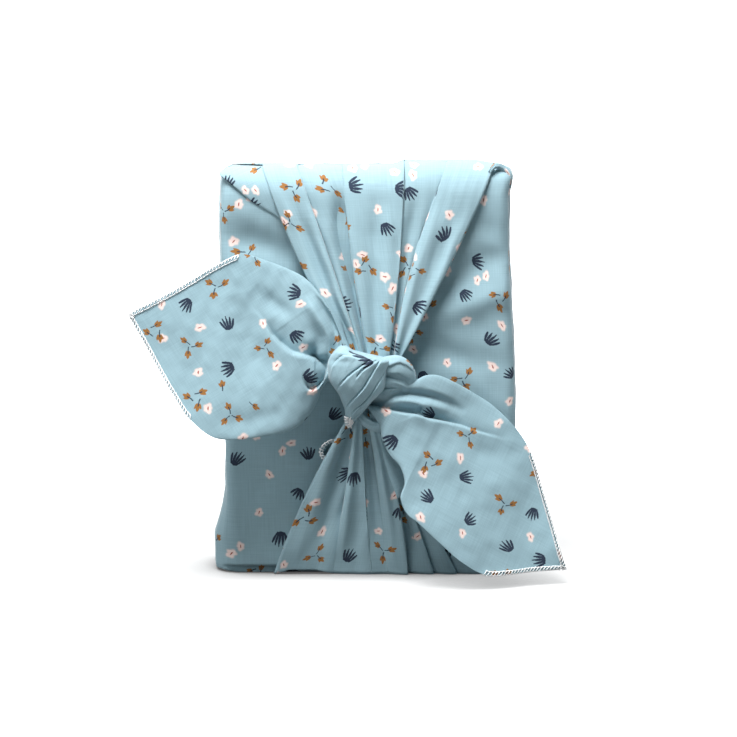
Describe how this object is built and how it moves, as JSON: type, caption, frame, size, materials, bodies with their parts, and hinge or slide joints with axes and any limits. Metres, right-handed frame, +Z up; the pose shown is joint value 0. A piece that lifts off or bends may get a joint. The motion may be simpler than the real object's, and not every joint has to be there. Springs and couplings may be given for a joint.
{
  "type": "furoshiki wrap",
  "caption": "Box-shaped parcel wrapped in one square of printed cotton, gathered over the front and tied in a knot with two free corner tails.",
  "frame": {"origin": "middle of the flat base that the parcel stands on", "axes": "+Z up, -Y out of the front where the knot is, +X to the right seen from the front"},
  "size_m": [0.2604, 0.0989, 0.2484],
  "materials": {
    "printed_cotton": "light blue plain-weave cotton with a small scattered print of pale flowers, ochre leaves and slate tufts, and an overlocked edge"
  },
  "bodies": {
    "root": {"furoshiki_cloth": "printed_cotton"}
  },
  "joints": []
}
